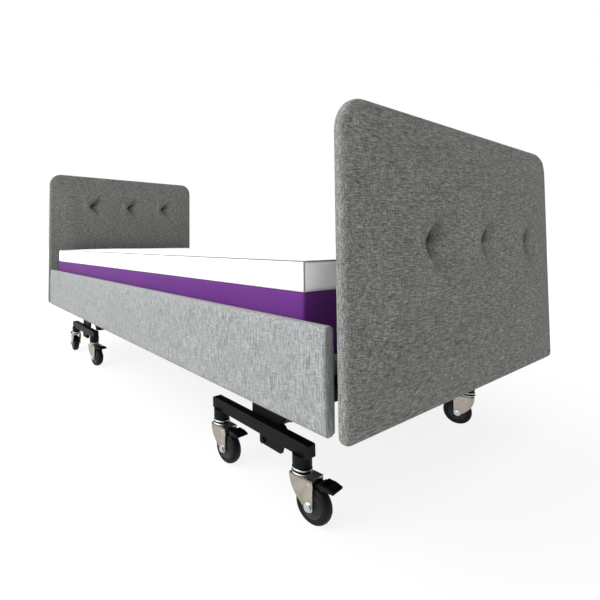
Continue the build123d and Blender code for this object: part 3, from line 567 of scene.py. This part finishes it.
def layer_piece(name, span, z0, z1, radius, crown, bulge, material, lift):
    """One length of a mattress layer: rounded edges, crowned top and slightly bellied sides."""
    x0, x1 = max(core_low.x, span[0]), min(core_high.x, span[1])
    ends = (x0 == core_low.x, x1 == core_high.x)
    xs = stations(x0, x1, 0.016, ends)
    y0, y1 = core_low.y, core_high.y
    outline = section_outline(y0, y1, z0, z1, radius, 44, 6 if z1 - z0 < 0.1 else 10)
    centre_y, centre_z = 0.5 * (y0 + y1), 0.5 * (z0 + z1)
    rows = []
    for x in xs:
        pull = 0.0
        if ends[0]:
            pull = max(pull, radius - min(radius, x - x0))
        if ends[1]:
            pull = max(pull, radius - min(radius, x1 - x))
        inset = radius - math.sqrt(max(0.0, radius ** 2 - pull ** 2))
        ring = np.zeros((len(outline), 3))
        ring[:, 0] = x
        scale_y = 1 - inset / ((y1 - y0) / 2)
        scale_z = 1 - inset / ((z1 - z0) / 2)
        ring[:, 1] = centre_y + (outline[:, 0] - centre_y) * scale_y
        ring[:, 2] = centre_z + (outline[:, 1] - centre_z) * scale_z
        rows.append(ring)
    grid = np.array(rows)
    across = np.abs(grid[:, :, 1] - centre_y) / ((y1 - y0) / 2)
    up_share = (grid[:, :, 2] - z0) / (z1 - z0)
    endness = np.ones(len(xs))
    if ends[0]:
        endness *= smoothstep(x0, x0 + 0.12, xs)
    if ends[1]:
        endness *= 1 - smoothstep(x1 - 0.12, x1, xs)
    grid[:, :, 2] += crown * (1 - across ** 4) * smoothstep(0.6, 1.0, up_share) * endness[:, None]
    belly = np.sin(np.pi * np.clip(up_share, 0, 1)) * smoothstep(0.9, 1.0, across)
    grid[:, :, 1] += np.sign(grid[:, :, 1]) * belly * bulge
    grid[:, :, 2] += (1 - up_share) * lift * underside(grid[:, :, 0])
    wave = 0.0011 * np.sin(grid[:, :, 0] * 17.0 + grid[:, :, 1] * 9.0) * smoothstep(0.7, 1.0, up_share)
    grid[:, :, 2] += wave * (1 - across ** 2)
    count = grid.shape[1]
    vertices = list(grid.reshape(-1, 3))
    faces = []
    for i in range(len(xs) - 1):
        for j in range(count):
            k = (j + 1) % count
            faces.append((i * count + j, (i + 1) * count + j, (i + 1) * count + k, i * count + k))
    for closed, row, flip in ((ends[0], 0, False), (ends[1], len(xs) - 1, True)):
        if not closed:
            continue
        # close the end with shrinking rings that stand out a little in the middle
        previous = [row * count + j for j in range(count)]
        sign = -1.0 if row == 0 else 1.0
        for share in (0.85, 0.6, 0.3):
            ring = grid[row].copy()
            ring[:, 1] = centre_y + (ring[:, 1] - centre_y) * (1 - (1 - share) * 0.9)
            ring[:, 2] = centre_z + (ring[:, 2] - centre_z) * share
            ring[:, 0] += sign * bulge * 0.5 * (1 - share)
            first = len(vertices)
            vertices.extend(ring)
            current = [first + j for j in range(count)]
            for j in range(count):
                k = (j + 1) % count
                quad = (previous[j], previous[k], current[k], current[j])
                faces.append(quad[::-1] if flip else quad)
            previous = current
        faces.append(tuple(previous[::-1] if flip else previous))
    made = make_object(name, vertices, faces, [material])
    mesh = bmesh.new()
    mesh.from_mesh(made.data)
    bmesh.ops.recalc_face_normals(mesh, faces=mesh.faces)
    mesh.to_mesh(made.data)
    mesh.free()
    made.data.polygons.foreach_set("use_smooth", [True] * len(made.data.polygons))
    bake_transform(made)
    return made


def tube(points, radius, sides=8):
    """Vertices and faces of a round tube along a polyline."""
    points = [Vector(p) for p in points]
    vertices, faces = [], []
    side = None
    for i, p in enumerate(points):
        a = points[max(i - 1, 0)]
        b = points[min(i + 1, len(points) - 1)]
        along = (b - a).normalized()
        if side is None:
            side = along.orthogonal().normalized()
        side = (side - along * side.dot(along)).normalized()
        other = along.cross(side)
        for k in range(sides):
            angle = 2 * math.pi * k / sides
            vertices.append(p + (side * math.cos(angle) + other * math.sin(angle)) * radius)
    for i in range(len(points) - 1):
        for k in range(sides):
            n = (k + 1) % sides
            faces.append((i * sides + k, i * sides + n, (i + 1) * sides + n, (i + 1) * sides + k))
    return vertices, faces


def piping(name, span, heights, radius, inset):
    """Welts along both long edges, and round the end of the mattress where this length has one."""
    x0, x1 = max(core_low.x, span[0]), min(core_high.x, span[1])
    y0, y1 = core_low.y + inset, core_high.y - inset
    xs = list(np.arange(x0, x1, 0.02)) + [x1]
    vertices, faces = [], []
    runs = []
    for z in heights:
        if x0 == core_low.x:
            near = [(x, y0, z) for x in xs[::-1]][:-1]
            end_run = [(x0 + inset, y, z) for y in np.linspace(y0 + 0.004, y1 - 0.004, 40)]
            runs.append(near + end_run + [(x, y1, z) for x in xs][1:])
        elif x1 == core_high.x:
            near = [(x, y0, z) for x in xs][:-1]
            end_run = [(x1 - inset, y, z) for y in np.linspace(y0 + 0.004, y1 - 0.004, 40)]
            runs.append(near + end_run + [(x, y1, z) for x in xs[::-1]][1:])
        else:
            runs.append([(x, y0, z) for x in xs])
            runs.append([(x, y1, z) for x in xs])
    for x, present in ((x0 + inset, x0 == core_low.x), (x1 - inset, x1 == core_high.x)):
        if present:
            for y in (y0, y1):
                runs.append([(x, y, z) for z in np.linspace(core_high.z + 0.002, heights[0], 6)])
    for run in runs:
        v, f = tube(run, radius)
        first = len(vertices)
        vertices += v
        faces += [tuple(i + first for i in face) for face in f]
    made = make_object(name, vertices, faces, [PIPING])
    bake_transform(made)
    return made


REPLACED = {"back": ("back",), "seat": ("seat", "thigh"), "foot": ("calf",)}
for label, x0, x1, body_a, body_b, start, end in BLENDS:
    core = layer_piece(
        f"mattress_cover_purple_{label}", (x0, x1), core_low.z + 0.001, core_high.z, 0.006, 0.0, 0.0025,
        PURPLE_KNIT, 1.0,
    )
    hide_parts(*[f"mattress_core_{n}" for n in REPLACED[label]])
    top = layer_piece(
        f"mattress_cover_white_{label}", (x0, x1), core_high.z + 0.0005, top_high.z, 0.006, 0.006, 0.002,
        WHITE_KNIT, 0.0,
    )
    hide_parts(*[f"mattress_top_{n}" for n in REPLACED[label]])
    if label == "back":
        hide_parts("mattress_folds")
    piping(
        f"mattress_welt_{label}", (x0, x1), (top_high.z - 0.0015,), 0.0016, 0.0012,
    )


# ---------------------------------------------------------------- castors

WHEEL_R, TRAIL, PLATE_Y = 0.042, 0.030, 0.020


def joint_frame(number):
    """Stem position and trail direction of a castor, from its swivel and wheel joints."""
    joints = {j["name"]: j for j in record["behaviour"]["joints"]}
    stem = Vector(joints[f"swivel_{number}"]["pos_m"])
    axle = Vector(joints[f"wheel_spin_{number}"]["pos_m"])
    trail = Vector((axle.x - stem.x, axle.y - stem.y, 0)).normalized()
    return Vector((stem.x, stem.y, 0)), trail


def lathe(profile, sides):
    """Vertices and faces of a closed ring profile (radius, along) turned about the local z axis."""
    vertices, faces = [], []
    count = len(profile)
    for k in range(sides):
        a = 2 * math.pi * k / sides
        for radius, along in profile:
            vertices.append((radius * math.cos(a), radius * math.sin(a), along))
    for k in range(sides):
        n = (k + 1) % sides
        for i in range(count):
            m = (i + 1) % count
            faces.append((k * count + i, n * count + i, n * count + m, k * count + m))
    return vertices, faces


def merged(parts):
    """One vertex and face list, with a material number per face, from several shapes."""
    vertices, faces, numbers = [], [], []
    for shape, number in parts:
        first = len(vertices)
        vertices += shape[0]
        faces += [tuple(i + first for i in face) for face in shape[1]]
        numbers += [number] * len(shape[1])
    return vertices, faces, numbers


def turned(shape, place):
    return [tuple(place @ Vector(v)) for v in shape[0]], shape[1]


def tyre_profile():
    outline = []
    for k in range(9):
        a = math.pi * k / 8
        outline.append((0.0335 + 0.0085 * math.sin(a), -0.0145 * math.cos(a)))
    return outline + [(0.030, 0.0142), (0.0275, 0.0130), (0.0275, -0.0130), (0.030, -0.0142)]


def hub_profile():
    """Moulded hub with raised rings on both faces."""
    half = [(0.0276, 0.0125), (0.0262, 0.0140), (0.0246, 0.0128), (0.0224, 0.0122), (0.0212, 0.0136),
            (0.0196, 0.0124), (0.0165, 0.0118), (0.0152, 0.0134), (0.0118, 0.0136), (0.0062, 0.0136)]
    return half + [(r, -z) for r, z in half[::-1]]


def fork_plate(offset, thickness):
    """Pressed fork side: curved leading edge, straight trailing edge, round foot at the axle."""
    outline = [(-0.020, 0.0978), (0.0400, 0.0978), (0.0400, 0.0405)]
    for k in range(9):
        a = math.radians(-160 * k / 8)
        outline.append((0.0300 + 0.0104 * math.cos(a), 0.0415 + 0.0104 * math.sin(a)))
    for k in range(1, 9):
        t = k / 8
        outline.append(((1 - t) ** 2 * 0.0200 - 2 * t * (1 - t) * 0.0165 - t * t * 0.0200,
                        (1 - t) ** 2 * 0.0375 + 2 * t * (1 - t) * 0.0600 + t * t * 0.0920))
    count = len(outline)
    vertices = [(u, offset + side * thickness / 2, z) for side in (-1, 1) for u, z in outline]
    faces = [tuple(range(count))[::-1], tuple(range(count, 2 * count))]
    faces += [(i, (i + 1) % count, (i + 1) % count + count, i + count) for i in range(count)]
    return vertices, faces


def hexagon(radius, low, high):
    vertices = [(radius * math.cos(math.pi * k / 3), radius * math.sin(math.pi * k / 3), z)
                for z in (low, high) for k in range(6)]
    faces = [tuple(range(6))[::-1], tuple(range(6, 12))]
    faces += [(k, (k + 1) % 6, (k + 1) % 6 + 6, k + 6) for k in range(6)]
    return vertices, faces


def block(u0, u1, v0, v1, z0, z1):
    vertices = [(u, v, z) for z in (z0, z1) for v in (v0, v1) for u in (u0, u1)]
    faces = [(0, 2, 3, 1), (4, 5, 7, 6), (0, 1, 5, 4), (2, 6, 7, 3), (0, 4, 6, 2), (1, 3, 7, 5)]
    return vertices, faces


def finish_piece(name, parts, place, materials, bevel, body, node):
    """Build a castor piece in its own frame, round its edges and put it on its body."""
    vertices, faces, numbers = merged(parts)
    made = make_object(name, [tuple(place @ Vector(v)) for v in vertices], faces, materials, numbers)
    mesh = bmesh.new()
    mesh.from_mesh(made.data)
    bmesh.ops.recalc_face_normals(mesh, faces=mesh.faces)
    mesh.to_mesh(made.data)
    mesh.free()
    if bevel:
        add_modifier(
            made, "BEVEL", width=bevel, segments=2, limit_method="ANGLE", angle_limit=math.radians(40)
        )
        apply_modifiers(made)
    made.data.polygons.foreach_set("use_smooth", [True] * len(made.data.polygons))
    made.data.set_sharp_from_angle(angle=math.radians(38))
    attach(made, body)
    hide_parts(node)
    return made


def ring(radius, low, high, hole=0.0061):
    soft = min(0.0009, (high - low) * 0.3)
    return lathe([(hole, low), (radius - soft, low), (radius, low + soft), (radius, high - soft),
                  (radius - soft, high), (hole, high)], 40)


def tread_shape():
    """Foot lever: slim arm with a broad ribbed tread, slightly turned up at its end."""
    arm = [(0.0278, 0.0860), (0.0580, 0.0860), (0.0700, 0.0880), (0.0890, 0.0890), (0.0896, 0.0936),
           (0.0740, 0.0978), (0.0560, 0.0978), (0.0500, 0.0950), (0.0488, 0.0924), (0.0278, 0.0924)]
    shapes = []
    for half, picked in ((0.0135, arm), (0.0188, [p for p in arm if p[0] > 0.0545])):
        n = len(picked)
        vertices = [(u, side * half, z) for side in (-1, 1) for u, z in picked]
        faces = [tuple(range(n))[::-1], tuple(range(n, 2 * n))]
        faces += [(i, (i + 1) % n, (i + 1) % n + n, i + n) for i in range(n)]
        shapes.append((vertices, faces))
    ribs = []
    for k in range(6):
        drop = 0.0009 * max(0, k - 3)
        ribs.append(block(
            0.058 + 0.005 * k, 0.0600 + 0.005 * k, -0.016, 0.016, 0.0965 - drop, 0.0984 - drop
        ))
    return shapes, ribs


for number in range(1, 9):
    stem, trail = joint_frame(number)
    square = Vector((-trail.y, trail.x, 0))
    upright = Matrix((trail, square, Vector((0, 0, 1)))).transposed().to_4x4()
    place = Matrix.Translation(stem) @ upright
    axle = Matrix.Translation((TRAIL, 0, WHEEL_R)) @ Matrix.Rotation(math.radians(90), 4, "X")
    collar = [
        (ring(0.0238, 0.0981, 0.1018), 1),
        (ring(0.0195, 0.1018, 0.1058), 2),
        (ring(0.0228, 0.1058, 0.1096), 1),
        (ring(0.0180, 0.1096, 0.1138), 2),
    ]
    sides = [(fork_plate(offset, 0.003), 0) for offset in (-PLATE_Y, PLATE_Y)]
    crown = [(block(-0.020, 0.040, -0.0215, 0.0215, 0.0942, 0.0980), 0)]
    bolts = []
    for sign in (-1, 1):
        flat = sorted((sign * 0.0215, sign * 0.0270))
        bolts.append((turned(hexagon(0.0086, *flat), axle), 1))
        flat = sorted((sign * 0.0215, sign * 0.0228))
        bolts.append((turned(ring(0.0102, *flat), axle), 1))
        pin = Matrix.Translation((0.032, 0, 0.0892)) @ Matrix.Rotation(math.radians(90), 4, "X")
        bolts.append((turned(ring(0.0032, *flat, hole=0.0005), pin), 1))
    stud = [(lathe([(0.0005, 0.113), (0.0059, 0.113), (0.0059, 0.142), (0.0005, 0.142)], 20), 1)]
    spindle = lathe([(0.0005, -0.022), (0.0049, -0.022), (0.0049, 0.022), (0.0005, 0.022)], 20)
    shaft = [(turned(spindle, axle), 1)]
    finish_piece(
        f"castor_fork_look_{number}", sides + crown + collar + bolts + stud + shaft, place,
        [ZINC, BRIGHT_ZINC, BLACK_PLASTIC], 0.0007, f"castor_{number}", f"castor_fork_{number}",
    )
    finish_piece(
        f"castor_wheel_look_{number}",
        [(turned(lathe(tyre_profile(), 72), axle), 0), (turned(lathe(hub_profile(), 72), axle), 1)],
        place, [TYRE, HUB], 0.0, f"wheel_{number}", f"castor_wheel_{number}",
    )
    shapes, ribs = tread_shape()
    finish_piece(
        f"castor_pedal_look_{number}", [(shape, 0) for shape in shapes] + [(rib, 0) for rib in ribs], place,
        [BLACK_PLASTIC], 0.0008, f"pedal_{number}", f"castor_pedal_{number}",
    )
